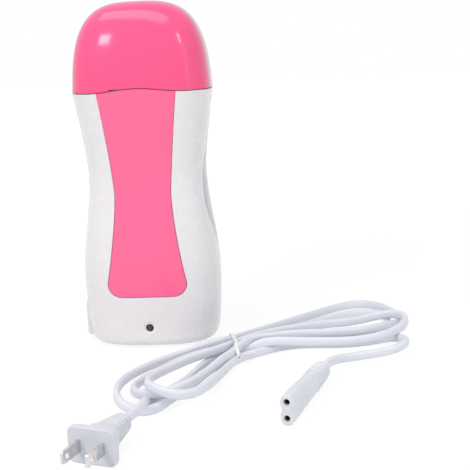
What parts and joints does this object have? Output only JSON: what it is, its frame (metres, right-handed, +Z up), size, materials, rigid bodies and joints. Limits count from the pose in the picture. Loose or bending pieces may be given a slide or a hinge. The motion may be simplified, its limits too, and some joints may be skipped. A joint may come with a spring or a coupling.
{
  "type": "roll on wax heater",
  "caption": "Upright roll-on wax cartridge heater: hourglass body, lift-off cap, side level windows, front panel and indicator, with its loose tied mains cord.",
  "frame": {"origin": "on the table, under the middle of the heater's body", "axes": "+Z up, -Y towards the front with the panel and the indicator, +X to the viewer's right"},
  "size_m": [0.2048, 0.2627, 0.213],
  "materials": {
    "shell_white": "satin gloss",
    "panel_pink": "gloss",
    "window_smoke": "smoky translucent gloss",
    "cap_pink": "high gloss",
    "collar_white": "fine matte",
    "screw_steel": "plain",
    "sleeve_aluminium": "drawn",
    "seat_plastic": "fine matte",
    "heater_film": "film wrapped",
    "amber_film": "smooth",
    "clamp_steel": "plain",
    "thermostat_black": "fine matte",
    "fuse_ceramic": "fine matte",
    "board_green": "lacquered",
    "resistor_tan": "lacquered",
    "led_lens": "clear tinted, unlit",
    "inlet_white": "fine matte",
    "pin_steel": "plated",
    "wire_red": "smooth",
    "wire_blue": "smooth",
    "wire_white": "smooth",
    "base_white": "fine matte",
    "foot_rubber": "matte",
    "plug_white": "soft sheen",
    "blade_steel": "nickel plated",
    "cord_white": "soft sheen",
    "tie_wire": "plain",
    "contact_brass": "plain"
  },
  "bodies": {
    "heater": {"front_shell": "shell_white", "rear_shell": "shell_white", "front_panel": "panel_pink", "level_window_left": "window_smoke", "level_window_right": "window_smoke", "neck_collar": "collar_white", "collar_screws": "screw_steel", "heating_chamber": "sleeve_aluminium", "chamber_seat": "seat_plastic", "ptc_heater": "heater_film", "insulation_sheet": "amber_film", "heater_clamp": "clamp_steel", "chamber_screws": "screw_steel", "thermostat": "thermostat_black", "thermal_fuse": "fuse_ceramic", "circuit_board": "board_green", "board_resistor": "resistor_tan", "board_screws": "screw_steel", "indicator_led": "led_lens", "power_inlet": "inlet_white", "inlet_pins": "pin_steel", "live_wire": "wire_red", "neutral_wire": "wire_blue", "heater_wire": "wire_white", "thermostat_wire": "wire_white", "base_cover": "base_white", "rubber_feet": "foot_rubber", "base_screws": "screw_steel", "casing_screws": "screw_steel", "plug_body": "plug_white", "plug_blades": "blade_steel", "plug_lead": "cord_white", "cord_hank": "cord_white", "twist_tie": "tie_wire", "connector_lead": "cord_white", "connector_body": "plug_white", "connector_contacts": "contact_brass"},
    "cap": {"cap": "cap_pink"}
  },
  "joints": [
    {"name": "cap_lift", "type": "slide", "parent": "heater", "child": "cap", "axis": [0, 0, 1], "range_m": [0, 0.06]}
  ]
}
